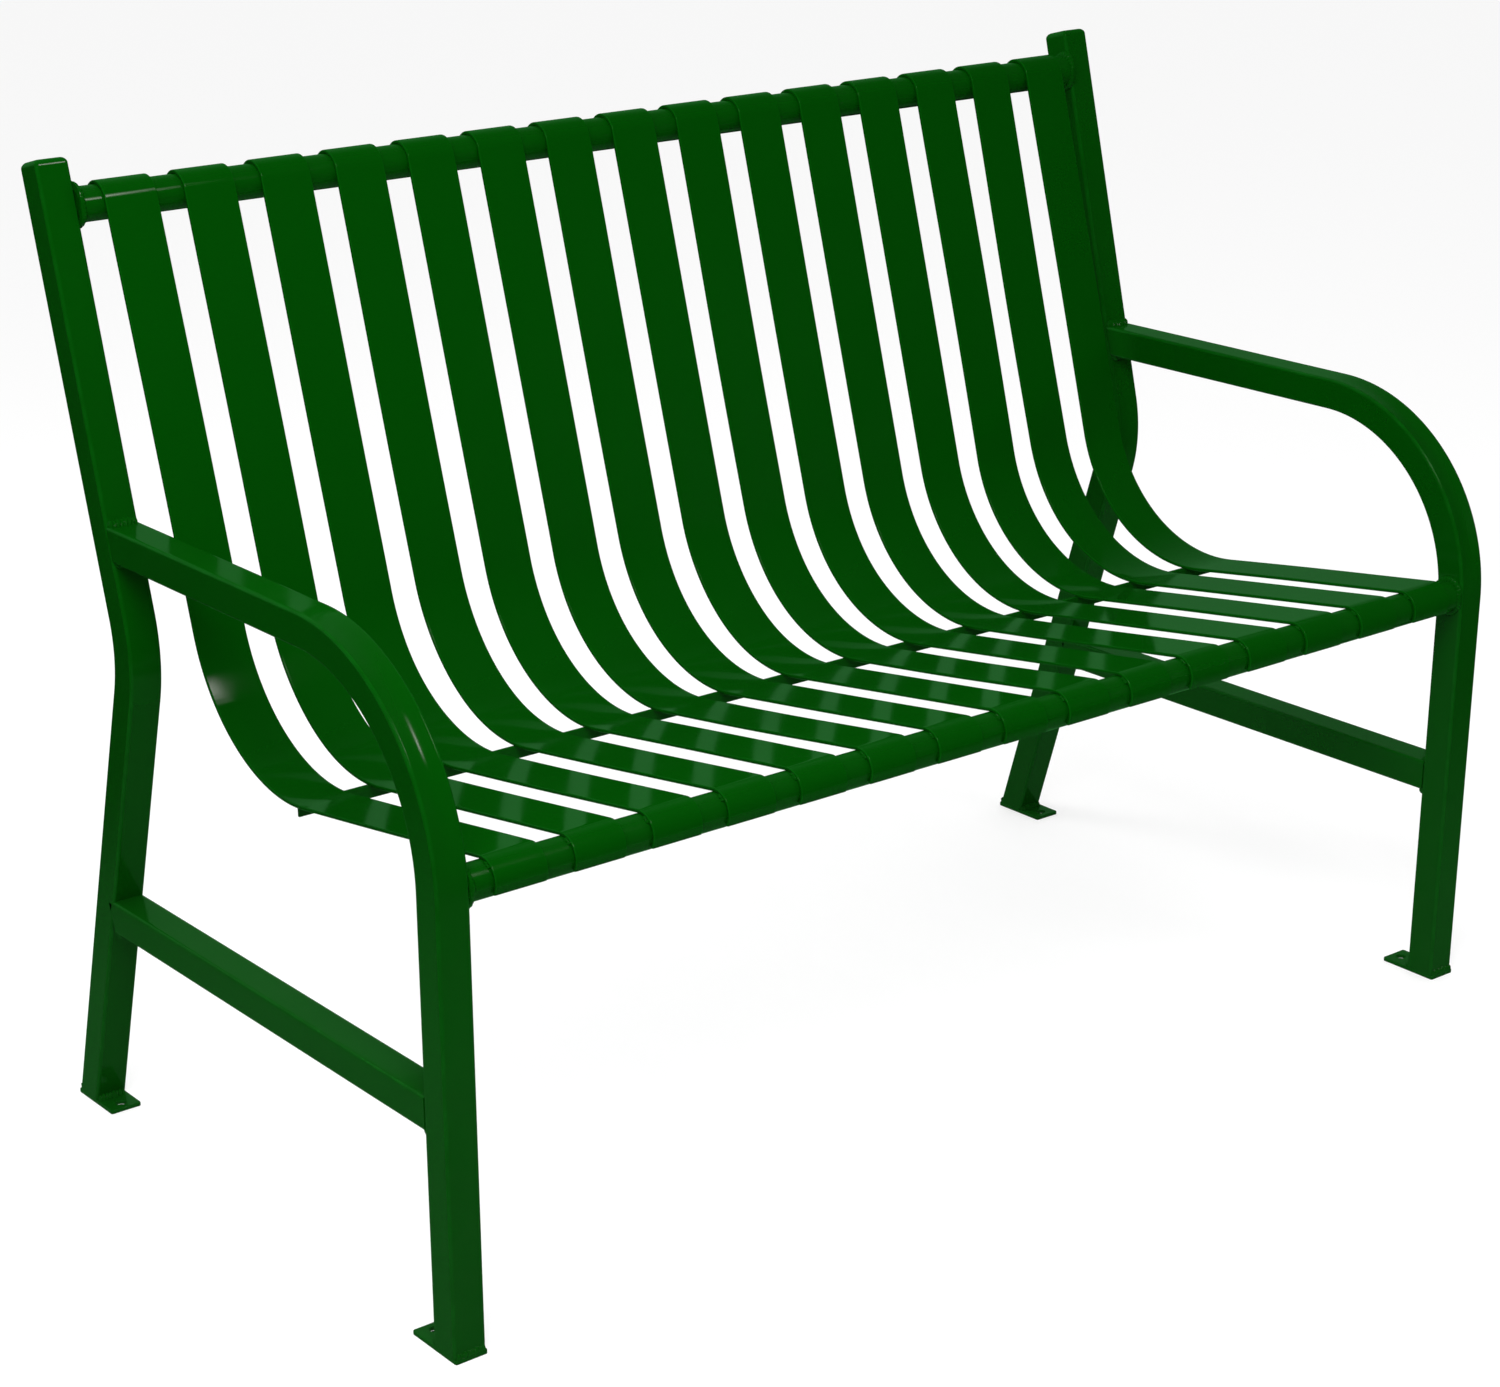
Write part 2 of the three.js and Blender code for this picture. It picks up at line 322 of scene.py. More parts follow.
def bent_path(start, corner, end, radius, steps):
    """Straight run, arc and straight run. The arc touches both runs at radius * tan(turn / 2)
    from the corner. Also gives the share of the turn made at each station, 0 and 1 on the runs."""
    into = (corner - start) / abs(corner - start)
    out = (end - corner) / abs(end - corner)
    turn = np.angle(out / into)
    side = np.sign(turn)
    first = corner - radius * math.tan(abs(turn) / 2) * into
    centre = first + 1j * side * radius * into
    bend = arc_path(centre, radius, np.angle(-1j * side * into), turn, steps)
    runs = [straight_path(start, first, RUN_IN), bend, straight_path(bend[0][-1], end, RUN_OUT)]
    turning = np.linspace(0, 1, steps + 1)
    share = np.concatenate([np.zeros(len(RUN_IN)), turning, np.ones(len(RUN_OUT))])
    return *one_path(runs), share


def in_space(x, flat):
    """Points in space from X values and side-view points, each repeated to fit the other."""
    x, flat = np.broadcast_arrays(x, flat)
    return np.stack([x, flat.real, flat.imag], axis=-1)


def carry(outline, places, directions, x):
    """Rings of an outline carried along a side-view path: across goes along X, and outward goes
    along the direction of travel turned 90 degrees to the left. The outline may differ at each
    station, as outline[station, point]."""
    outline = np.broadcast_to(outline, (len(places), outline.shape[-1]))
    flat = places[:, None] + outline.imag * (1j * directions[:, None])
    return in_space(x + outline.real, flat)


def trim(rings, end, through, normal):
    """Slides the end ring's points along their own run until they lie on the plane through that
    side-view point with that side-view normal, as a saw cut does."""
    inner = 1 if end == 0 else -2
    run = rings[end] - rings[inner]
    plane_normal = in_space(0, normal)
    reach = (in_space(0, through) - rings[end]) * [0, 1, 1] @ plane_normal
    rings[end] = rings[end] + run * (reach / (run @ plane_normal))[:, None]


# %% [markdown]
# ## Bent square tube
#
# A tube bender draws the outside wall of a bend in and buckles the inside wall a little. The
# hollow is about a millimetre at the middle of the face, nothing at the corners, and fades out
# where the bend ends. It is why the highlight on an armrest is a streak with a bright line on
# either side instead of one even band.

# %% Posts, legs and arms
FRAMES = {"left": box_middle("left_stretcher").x, "right": box_middle("right_stretcher").x}
ARM_SINK = 2.0 * MM
POST_SINK = 0.5 * MM
POST_BEND_STEPS = 20
ARM_BEND_STEPS = 48
SHOULDER = 5.5 * MM
tube_outline, tube_edge = square_outline(TUBE_HALF, TUBE_CORNER)


def sunk_outline(outline, half, depth, share):
    """The outline with its outward and inward faces drawn in by depth * cos^2 of the way across,
    times a ramp that rises and falls over the first and last fifth of the bend."""
    ramp = np.clip(np.minimum(share, 1 - share) * 5, 0, 1)
    ramp = ramp * ramp * (3 - 2 * ramp)
    hollow = np.cos(np.pi / 2 * outline.real / half) ** 2
    keep = 1 - depth / half * ramp[:, None] * hollow[None, :]
    return outline.real + 1j * outline.imag * keep


post_foot = post_axis(PLATE_TOP)
cap_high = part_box("left_post_cap")[1]
cap_top = post_axis(cap_high.z - TUBE_HALF * math.sin(POST_LEAN))
post_up = 1j * np.exp(-1j * POST_LEAN)
post_face_normal = 1j * post_up


def rear_post(side):
    """Square outline carried up the post and round its bend, cut level at the foot."""
    bend = complex(post_bend_y, POST_BEND_Z)
    places, directions, share = bent_path(
        post_foot, bend, cap_top - SHOULDER * post_up, POST_BEND_RADIUS, POST_BEND_STEPS)
    outline = sunk_outline(tube_outline, TUBE_HALF, POST_SINK, share)
    rings = carry(outline, places, directions, FRAMES[side])
    trim(rings, 0, post_foot, 1j)
    return skin(f"{side}_rear_post_tube", rings, tube_edge)


def arm_leg(side):
    """Square outline carried up the leg, round the bend and back along the arm, cut level at the
    foot and to the post's lean at the back."""
    places, directions, share = bent_path(
        leg_axis(PLATE_TOP), leg_axis(ARM_Z), post_axis(ARM_Z), ARM_BEND_RADIUS, ARM_BEND_STEPS)
    outline = sunk_outline(tube_outline, TUBE_HALF, ARM_SINK, share)
    rings = carry(outline, places, directions, FRAMES[side])
    trim(rings, 0, leg_axis(PLATE_TOP), 1j)
    trim(rings, -1, post_axis(ARM_Z) + TUBE_HALF * post_face_normal, post_face_normal)
    return skin(f"{side}_arm_leg_tube", rings, tube_edge)


leg_back_normal = np.exp(1j * LEG_LEAN)
post_low_normal = -np.exp(-1j * POST_SPLAY)


def stretcher(side):
    """Square outline carried level from the leg's back face to the post's front face."""
    start = leg_axis(STRETCHER_Z)
    end = post_axis(STRETCHER_Z)
    rings = carry(tube_outline, *straight_path(start, end, (0, 0.2, 0.5, 0.8, 1)), FRAMES[side])
    trim(rings, 0, start + TUBE_HALF * leg_back_normal, leg_back_normal)
    trim(rings, -1, end + TUBE_HALF * post_low_normal, post_low_normal)
    return skin(f"{side}_stretcher_tube", rings, tube_edge)


for side in FRAMES:
    for make in (rear_post, arm_leg, stretcher):
        stand_for(make(side), "frame_powder_coat", f"{side}_{make.__name__}")

# %% [markdown]
# ## Post caps
#
# A square of plate closes the top of each post. It is welded all round and the weld is ground
# to a soft shoulder, so from outside it reads as one rounded end with a few low lumps left in
# it. A dome of shrinking outlines does this: each ring is the tube's outline, scaled in as a
# quarter ellipse says, with the lumps as waves that fade to nothing at the rim and at the top.

# %% Caps
CAP_RINGS = 9
CAP_INSET = 5 * MM
CAP_LUMP = 0.35 * MM
CAP_WAVES = (5, 8, 11)
CAP_TOP_SCALES = (0.5, 0.25, 0.02)


def post_cap(side, seed):
    """Rings at angle a from 0 to 90 degrees: height SHOULDER * sin a, inset CAP_INSET * (1 -
    cos a), then a nearly flat top that closes on a small face at the middle."""
    rng = np.random.default_rng(seed)
    angle = np.linspace(0, math.pi / 2, CAP_RINGS)
    flat_top = np.zeros(len(CAP_TOP_SCALES))
    height = np.concatenate([SHOULDER * np.sin(angle), flat_top + SHOULDER])
    scale = np.concatenate([1 - CAP_INSET / TUBE_HALF * (1 - np.cos(angle)), CAP_TOP_SCALES])
    around = np.angle(tube_outline)
    waves = sum(np.sin(k * around + rng.uniform(0, 2 * np.pi)) for k in CAP_WAVES) / len(CAP_WAVES)
    fade = np.concatenate([np.sin(2 * angle) ** 2, flat_top])
    drop = CAP_LUMP * fade[:, None] * (1 + waves[None, :]) / 2
    outline = scale[:, None] * tube_outline[None, :]
    rise = height[:, None] - drop
    base = cap_top - SHOULDER * post_up
    flat = base + rise * post_up - outline.imag * 1j * post_up
    rings = in_space(FRAMES[side] + outline.real, flat)
    edge = np.concatenate([np.sin(angle), flat_top])
    return skin(f"{side}_post_cap_shoulder", rings, edge[:, None])


for seed, side in enumerate(FRAMES):
    stand_for(post_cap(side, 40 + seed), "frame_powder_coat", f"{side}_post_cap")

# %% [markdown]
# ## Foot plates
#
# Each plate is a length of flat bar with one punched bolt hole near its free end. A plate with
# a hole is a ring, so it can be made as one: a small profile (up the hole's wall, out across
# the top, down the outside and back underneath) is carried once round the hole, and the outer
# part of each profile reaches to the plate's edge instead of keeping one distance.

# %% Foot plates
PLATE_CORNER = 2 * MM
PLATE_ROUND = 0.6 * MM
ROUND_STEPS = 4
FLAT_START = 1.3 * PLATE_ROUND
HOLE_RADIUS = 4.8 * MM
HOLE_TO_END = 11 * MM


def rectangle_outline(half_width, half_length, corner, side_points=26, end_points=12):
    """Rectangle with rounded corners, as x + y * 1j, counterclockwise from the +X side."""
    turn = np.linspace(0, math.pi / 2, 6)
    arc = corner * np.exp(1j * turn)
    wide = half_width - corner
    long = half_length - corner
    right = half_width + 1j * np.linspace(-long, long, side_points)[1:-1]
    back = 1j * half_length + np.linspace(wide, -wide, end_points)[1:-1]
    half_turn = np.concatenate([right, wide + 1j * long + arc, back, -wide + 1j * long + 1j * arc])
    return np.concatenate([half_turn, -half_turn])


def foot_plate(node, hole_end):
    """Carries the profile round the hole. Each point of it is at one height, and at one distance
    from the hole's edge or from the plate's edge, along the line that joins the two."""
    low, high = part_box(node)
    middle = complex((low.x + high.x) / 2, (low.y + high.y) / 2)
    half_length = (high.y - low.y) / 2
    outer = middle + rectangle_outline((high.x - low.x) / 2, half_length, PLATE_CORNER)
    hole = middle + 1j * hole_end * (half_length - HOLE_TO_END)
    inner = hole + HOLE_RADIUS * (outer - hole) / np.abs(outer - hole)
    reach = np.abs(outer - inner)
    turn = np.linspace(0, math.pi / 2, ROUND_STEPS)
    drop = PLATE_ROUND * (1 - np.sin(turn))
    draw = PLATE_ROUND * (1 - np.cos(turn))
    thick = high.z - low.z
    lift = np.concatenate([[PLATE_ROUND, thick - PLATE_ROUND], thick - drop, [thick, thick],
                           thick - draw, drop, [0, 0], draw])
    step = np.concatenate([[0, 0], draw, [FLAT_START, -FLAT_START], -drop, -draw,
                           [-FLAT_START, FLAT_START], drop])
    counts = (3 + ROUND_STEPS, 2 + 2 * ROUND_STEPS, 1 + ROUND_STEPS)
    at_edge = np.repeat([0, 1, 0], counts)
    along = step[:, None] + at_edge[:, None] * reach
    flat = inner + along * (outer - inner) / reach
    level = np.broadcast_to(lift[:, None] + low.z, flat.shape)
    rings = np.stack([flat.real, flat.imag, level], axis=-1)
    from_rim = np.abs(lift - thick / 2) - (thick / 2 - PLATE_ROUND / 2)
    rim = np.clip(1 - np.abs(from_rim) / PLATE_ROUND, 0, 1)
    return skin(f"{node}_steel", rings, rim[:, None], loop=True)


for side in FRAMES:
    for end, hole_end in [("front", 1), ("rear", -1)]:
        node = f"{side}_{end}_foot_plate"
        stand_for(foot_plate(node, hole_end), "frame_powder_coat", node)

# %% [markdown]
# ## Rails
#
# The rails are plain round tube, and their ends disappear into a ring of weld. Only short
# lengths show between the straps. The outline is carried along X this time, with its end rings
# drawn in to a small chamfer.

# %% Rails
RAIL_SIDES = 72
RAIL_CHAMFER = 0.8 * MM


def rail(node):
    """Circles of the rail's radius along X; the first and last are smaller by the chamfer."""
    low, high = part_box(node)
    centre = complex(*box_middle(node).yz)
    length = high.x - low.x
    chamfer = RAIL_CHAMFER / length
    fractions = np.array([0, chamfer, 0.02, *np.linspace(0.1, 0.9, 9), 0.98, 1 - chamfer, 1])
    radius = RAIL_RADIUS - RAIL_CHAMFER * np.isin(fractions, (0, 1))
    spokes = np.exp(2j * math.pi * np.arange(RAIL_SIDES) / RAIL_SIDES)
    flat = centre + radius[:, None] * spokes[None, :]
    return skin(f"{node}_tube", in_space((low.x + length * fractions)[:, None], flat))


for node in ("top_rail", "front_rail"):
    stand_for(rail(node), "frame_powder_coat", node)

# %% [markdown]
# ## Straps
#
# Each strap is one length of flat bar, rolled over the top rail, straight down the back, round
# one wide curve, along the seat and round the front rail. A strip that is rolled to a curve
# also curls slightly the other way across its width, and no two straps are bent quite alike:
# both show at once in a gloss finish, because they move the reflections. So every strap gets a
# slow bow of its own, nothing at the rails and at the support bar, and a curl in the curve.

# %% Straps
STRAP_THICKNESS = 3.2 * MM
STRAP_CORNER = 0.9 * MM
STRAP_GAP = 0.2 * MM
BACK_LEAN = math.radians(15.3)
SEAT_FALL = math.radians(8.3)
STRAP_BEND_RADIUS = 160 * MM
FRONT_WRAP = math.radians(130)
TOP_WRAP = math.radians(180)
STRAP_BOW = 1.1 * MM
STRAP_CURL = 0.35 * MM
BOW_LIMIT = 1.6
LOW_SHARE = 0.5
TOP_STEPS = 36
CURVE_STEPS = 48
FRONT_STEPS = 30

straps = sorted(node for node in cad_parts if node.startswith("strap_"))
STRAP_WIDTH = box_size(straps[0]).x
face_normal = np.exp(1j * (math.pi - BACK_LEAN))
seat_normal = np.exp(1j * (math.pi / 2 - SEAT_FALL))
back_angle = np.angle(face_normal)
seat_angle = np.angle(seat_normal)
wrap_radius = RAIL_RADIUS + STRAP_GAP + STRAP_THICKNESS / 2
curve_radius = STRAP_BEND_RADIUS - STRAP_THICKNESS / 2


def curve_centre():
    """The point that is one curve radius in front of the back's line and above the seat's line;
    both lines touch the wraps round the rails."""
    reach = wrap_radius + curve_radius
    sides = np.array([[face_normal.real, face_normal.imag], [seat_normal.real, seat_normal.imag]])
    back = (top_rail * face_normal.conjugate()).real + reach
    seat = (front_rail * seat_normal.conjugate()).real + reach
    return complex(*np.linalg.solve(sides, [back, seat]))


strap_curve = curve_centre()


def strap_path():
    """Arc over the top rail, line, the wide curve, line, arc round the front rail. Also gives
    where each station is: 0 to 1 down the back, 1 to 2 in the curve, 2 to 3 along the seat."""
    over = arc_path(top_rail, wrap_radius, back_angle - TOP_WRAP, TOP_WRAP, TOP_STEPS)
    turn = seat_angle - back_angle
    curve = arc_path(strap_curve, curve_radius, back_angle - math.pi, turn, CURVE_STEPS)
    under = arc_path(front_rail, wrap_radius, seat_angle, FRONT_WRAP, FRONT_STEPS)
    inside = np.concatenate([[0.01], np.linspace(0.06, 0.94, 14), [0.99]])
    back = straight_path(over[0][-1], curve[0][0], inside)
    seat = straight_path(curve[0][-1], under[0][0], inside)
    stage = np.concatenate([np.zeros(TOP_STEPS + 1), inside, np.linspace(1, 2, CURVE_STEPS + 1),
                            2 + inside, np.full(FRONT_STEPS + 1, 3.0)])
    return *one_path((over, back, curve, seat, under)), stage


strap_places, strap_directions, strap_stage = strap_path()
strap_shape, strap_edge = strip_outline(STRAP_WIDTH, STRAP_THICKNESS, STRAP_CORNER)


def swell(start, length):
    """sin^2 along the strap's stages: nothing up to start, and nothing again length later."""
    return np.sin(math.pi * np.clip((strap_stage - start) / length, 0, 1)) ** 2


def strap(node, seed):
    """The strip outline carried along the strap's path. The bow moves a station square to the
    path by sin^2 waves that vanish at the rails and at the bar; the curl lowers the edges by
    STRAP_CURL * (across / half width)^2 in the curve."""
    rng = np.random.default_rng(seed)
    back_bow, curve_bow, seat_bow = rng.normal(0, 1, 3).clip(-BOW_LIMIT, BOW_LIMIT) * STRAP_BOW
    bow = back_bow * swell(0, 1.25) + LOW_SHARE * curve_bow * swell(0.9, 0.8)
    bow = bow + LOW_SHARE * seat_bow * swell(1.85, 1.15)
    curl = STRAP_CURL * swell(0.85, 1.3)
    across = strap_shape.real / (STRAP_WIDTH / 2)
    lift = strap_shape.imag[None, :] + bow[:, None] + curl[:, None] * across[None, :] ** 2
    outline = strap_shape.real + 1j * lift
    rings = carry(outline, strap_places, strap_directions, box_middle(node).x)
    return skin(f"{node}_steel", rings, strap_edge)


for number, node in enumerate(straps):
    stand_for(strap(node, 100 + number), "strap_powder_coat", node)
print("straps:", len(straps))

# %% [markdown]
# ## The support bar
#
# One flat bar on edge runs under the lowest line of the straps and ties them together. It
# shows as a thin dark line through the gaps and as a small end past the first strap.

# %% Support bar
BAR_CORNER = 0.7 * MM
BAR_STATIONS = 31


def support_bar():
    """The strip outline, standing on its edge and carried along X."""
    low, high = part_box("seat_support_bar")
    outline, edge = strip_outline(high.z - low.z, high.y - low.y, BAR_CORNER)
    middle = complex(*box_middle("seat_support_bar").yz)
    stations = np.linspace(low.x, high.x, BAR_STATIONS)
    rings = in_space(stations[:, None], (middle - 1j * outline)[None, :])
    return skin("seat_support_bar_steel", rings, edge)


stand_for(support_bar(), "frame_powder_coat", "seat_support_bar")

# %% [markdown]
# ## Weld beads
#
# Every joint is arc welded. A fillet bead fills the corner between two faces, and its surface
# is a row of overlapping crescents, one for each time the puddle froze. The bead is a sweep
# again: the section runs from a toe on one face to a toe on the other and bulges out between
# them, and the crescents are a wave along the path that lags at the middle of the section.
# The size wanders a little, as a hand does. Paint softens all of it but hides none of it.

# %% Bead
BEAD_POINTS = 9
CROSS_HALF = TUBE_HALF - 1.5 * MM
BEAD_CROWN = 0.22
BEAD_ROOT = 0.15
BEAD_END = 0.35
BEAD_STATIONS = 49
TINY = 1e-9
RIPPLE_PITCH = 3.4 * MM
RIPPLE_DEPTH = 0.10
RIPPLE_LAG = 0.45
HAND_WANDER = 0.11
WANDER_WAVES = (1, 2, 3, 5)


def bead(name, places, toe_a, toe_b, out, seed, loop=False):
    """Fillet bead. At each station it runs from place + toe_a to place + toe_b, pushed along out
    by BEAD_CROWN * sin(pi t); toes and crown are all scaled by 1 + ripple + wander, where ripple =
    depth * cos(2 pi (distance / pitch - lag * sin(pi t))). Open beads shrink at both ends."""
    rng = np.random.default_rng(seed)
    last = places[:1] if loop else places[-1:]
    steps = np.linalg.norm(np.diff(places, axis=0, append=last), axis=1)
    distance = np.cumsum(steps) - steps
    length = steps.sum() if loop else distance[-1]
    t = np.linspace(0, 1, BEAD_POINTS)
    count = max(2, round(length / RIPPLE_PITCH))
    phase = distance[:, None] / length * count - RIPPLE_LAG * np.sin(math.pi * t)[None, :]
    ripple = RIPPLE_DEPTH * np.cos(2 * math.pi * (phase + rng.random()))
    around = distance / length
    waves = [np.sin(2 * math.pi * (k * around + rng.random())) for k in WANDER_WAVES]
    wander = HAND_WANDER * np.sum(waves, axis=0) / 2
    size = 1 + ripple + wander[:, None]
    if not loop:
        ends = np.minimum(distance, length - distance) / (BEAD_END * np.linalg.norm(toe_a[0]) + TINY)
        size = size * np.sqrt(np.clip(ends, 0.02, 1))[:, None]
    legs = (1 - t)[None, :, None] * toe_a[:, None, :] + t[None, :, None] * toe_b[:, None, :]
    width = np.linalg.norm(toe_a - toe_b, axis=1)[:, None, None]
    bulge = BEAD_CROWN * np.sin(math.pi * t)[None, :, None] * width * out[:, None, :]
    surface = places[:, None, :] + (legs + bulge) * size[..., None]
    root = places - BEAD_ROOT * width[:, 0] * out
    rings = np.concatenate([surface, root[:, None, :]], axis=1)
    return skin(name, rings, loop=loop)


def unit(vectors):
    """Each vector scaled to length one."""
    return vectors / np.linalg.norm(vectors, axis=-1, keepdims=True)


def cross_bead(name, at, x, toe_a, toe_b, seed, half_width=CROSS_HALF):
    """A fillet that runs along X across a tube's face, at a side-view point, with its two toes
    given as side-view vectors."""
    places = in_space(x + np.linspace(-half_width, half_width, BEAD_STATIONS), at)
    toe_a = np.broadcast_to(in_space(0, toe_a), places.shape)
    toe_b = np.broadcast_to(in_space(0, toe_b), places.shape)
    return bead(name, places, toe_a, toe_b, unit(toe_a + toe_b), seed)


# %% [markdown]
# The frames' welds: the arm and the stretcher get a fillet above and below at each end, the
# flush side faces are ground smooth, and each tube is fillet welded to its foot plate across
# the front and the back.

# %% Frame welds
FRAME_LEG = 5.5 * MM
FOOT_LEG = 5.0 * MM
FRONT_LEDGE = 0.55
REAR_LEDGE = 0.22
leg_up = 1j * leg_back_normal
low_up = -1j * post_low_normal


def meeting(origin, direction, level):
    """Where a side-view line through origin, along direction, crosses height level."""
    return origin + direction * (level - origin.imag) / direction.imag


def lay_fillets(name, side, fillets, leg, seed):
    """A cross bead for each (place, toe direction, toe direction), joined to one piece."""
    beads = [
        cross_bead(f"{name}_{k}", at, FRAMES[side], leg * a, leg * b, seed + k)
        for k, (at, a, b) in enumerate(fillets)
    ]
    return join_pieces(name, beads)


def frame_welds(side, seed):
    """All the fillets of one side frame."""
    post_face = post_axis(ARM_Z) + TUBE_HALF * post_face_normal
    above = meeting(post_face, post_up, ARM_Z + TUBE_HALF)
    below = meeting(post_face, post_up, ARM_Z - TUBE_HALF)
    leg_face = leg_axis(STRETCHER_Z) + TUBE_HALF * leg_back_normal
    low_face = post_axis(STRETCHER_Z) + TUBE_HALF * post_low_normal
    top, bottom = STRETCHER_Z + TUBE_HALF, STRETCHER_Z - TUBE_HALF
    fillets = [
        (above, -1, post_up), (below, -1, -post_up),
        (meeting(leg_face, leg_up, top), 1, leg_up), (meeting(leg_face, leg_up, bottom), 1, -leg_up),
        (meeting(low_face, low_up, top), -1, low_up), (meeting(low_face, low_up, bottom), -1, -low_up),
    ]
    return lay_fillets(f"{side}_frame_welds", side, fillets, FRAME_LEG, seed)


def foot_welds(side, seed):
    """The fillets between a frame's two tubes and their plates. In front of the leg and behind
    the post the plate is only a narrow ledge, so the beads there are narrow too."""
    leg_foot = leg_axis(PLATE_TOP)
    half_foot = TUBE_HALF / math.cos(POST_SPLAY)
    fillets = [
        (leg_foot - TUBE_HALF, -FRONT_LEDGE, leg_up), (leg_foot + TUBE_HALF, 1, leg_up),
        (post_foot - half_foot, -1, low_up), (post_foot + half_foot, REAR_LEDGE, low_up),
    ]
    return lay_fillets(f"{side}_foot_welds", side, fillets, FOOT_LEG, seed)


for seed, side in enumerate(FRAMES):
    stand_for(frame_welds(side, 200 + 20 * seed), "frame_powder_coat")
    stand_for(foot_welds(side, 300 + 20 * seed), "frame_powder_coat")
print("frame welds done")

# %% [markdown]
# A ring of weld holds each rail end to the tube beside it. The rail is as wide as the tube, so
# the ring has a full leg above and below the rail and almost none in front and behind.

# %% Rail end welds
RING_LEG = 5 * MM
RING_STATIONS = 96
RING_LEAST = 0.12


def rail_ring(name, centre, side, seed):
    """Bead round a rail's end: one toe along the rail, the other away from it on the tube's
    face, where it is short at the front and the back."""
    inward = 1 if side == "left" else -1
    face_x = FRAMES[side] + inward * TUBE_HALF
    spokes = np.exp(2j * math.pi * np.arange(RING_STATIONS) / RING_STATIONS)
    places = in_space(face_x, centre + RAIL_RADIUS * spokes)
    radial = in_space(0, spokes)
    share = RING_LEAST + (1 - RING_LEAST) * np.abs(spokes.imag) ** 1.5
    toe_a = np.broadcast_to([inward * RING_LEG, 0, 0], places.shape)
    toe_b = radial * RING_LEG * share[:, None]
    return bead(name, places, toe_a, toe_b, unit(toe_a / RING_LEG + radial), seed, loop=True)


for seed, side in enumerate(FRAMES):
    for k, (name, centre) in enumerate([("top", top_rail), ("front", front_rail)]):
        ring = rail_ring(f"{side}_{name}_rail_weld", centre, side, 400 + 2 * seed + k)
        stand_for(ring, "frame_powder_coat")
print("rail welds done")

# %% [markdown]
# The straps are tacked: a short bead under the cut end of each wrap, and a pair of small ones
# where the strap's side edges leave the rail's crown. The support bar has a tack on both
# sides under every strap.

# %% Strap tacks
TACK_LEG = 1.8 * MM
END_TACK = 16 * MM
BAR_TACK = 9 * MM
TACK_STATIONS = 25
EDGE_TACK_START = (18, 30)
EDGE_TACK_SWEEP = (22, 34)
END_WANDER = 4
BAR_WANDER = 6


def end_tack(name, centre, angle, onward, x, seed):
    """A bead along X between a strap's cut end and the rail. angle is where the end is, and
    onward is +1 or -1: which way round the rail lies the bare part."""
    spoke = np.exp(1j * angle)
    ahead = onward * 1j * spoke
    at = centre + RAIL_RADIUS * spoke
    return cross_bead(name, at, x, TACK_LEG * ahead * 1.2, TACK_LEG * spoke, seed, END_TACK)


def edge_tack(name, centre, start, sweep, x, outward, seed):
    """A bead on the rail along a strap's side edge, on an arc from start through sweep."""
    spokes = np.exp(1j * (start + sweep * np.linspace(0, 1, TACK_STATIONS)))
    places = in_space(x, centre + RAIL_RADIUS * spokes)
    toe_a = np.broadcast_to([outward * TACK_LEG, 0, 0], places.shape)
    toe_b = TACK_LEG * in_space(0, spokes)
    return bead(name, places, toe_a, toe_b, unit(toe_a + toe_b), seed)


def bar_tack(name, x, side_y, seed):
    """A bead along X between the bar's top edge and the underside of a strap."""
    bar = box_middle("seat_support_bar")
    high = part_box("seat_support_bar")[1]
    at = complex(bar.y + side_y * box_size("seat_support_bar").y / 2, high.z)
    return cross_bead(name, at, x, TACK_LEG * side_y, -1j * TACK_LEG, seed, BAR_TACK)


def strap_tacks(number, node):
    """All the tacks of one strap, joined to one piece. Their places wander a little."""
    rng = np.random.default_rng(500 + number)
    x = box_middle(node).x
    half = STRAP_WIDTH / 2
    ends = [(front_rail, seat_angle + FRONT_WRAP, 1, 600), (top_rail, back_angle - TOP_WRAP, -1, 640)]
    tacks = []
    for rail_centre, angle, onward, seed in ends:
        middle = x + rng.uniform(-END_WANDER, END_WANDER) * MM
        tacks.append(end_tack("tack", rail_centre, angle, onward, middle, seed + number))
    for k, outward in enumerate((-1, 1)):
        start = seat_angle + math.radians(rng.uniform(*EDGE_TACK_START))
        sweep = math.radians(rng.uniform(*EDGE_TACK_SWEEP))
        edge_x = x + outward * half
        seed = 4 * number + k
        tacks.append(edge_tack("tack", front_rail, start, sweep, edge_x, outward, 700 + seed))
        middle = x + rng.uniform(-BAR_WANDER, BAR_WANDER) * MM
        tacks.append(bar_tack("tack", middle, outward, 800 + seed))
    return join_pieces(f"{node}_tacks", tacks)


for number, node in enumerate(straps):
    stand_for(strap_tacks(number, node), "frame_powder_coat")
print("pieces:", len(made), "faces:", sum(made.values()))

# %% [markdown]
# ## The finish
#
# Powder coat is plastic that was melted onto the steel: one deep green with a clear, wet gloss.
# Close up it isn't even. It flows into a very slight orange peel, it draws back from sharp
# edges so that they look lighter, it carries a few nibs where dust fell in, and outdoors it
# gathers a thin pale film near the ground. Each effect is a node group that gives out a
# number, a mask or a colour; the shader itself stays in the material.

# %% Node helpers
def new_group(name, inputs, outputs):
    """An empty shader node group with those sockets, given as {socket name: (type, default)}."""
    group = bpy.data.node_groups.new(name, "ShaderNodeTree")
    for socket, (kind, value) in inputs.items():
        made_socket = group.interface.new_socket(socket, in_out="INPUT", socket_type=kind)
        made_socket.default_value = value
    for socket, kind in outputs.items():
        group.interface.new_socket(socket, in_out="OUTPUT", socket_type=kind)
    return group, group.nodes.new("NodeGroupInput"), group.nodes.new("NodeGroupOutput")


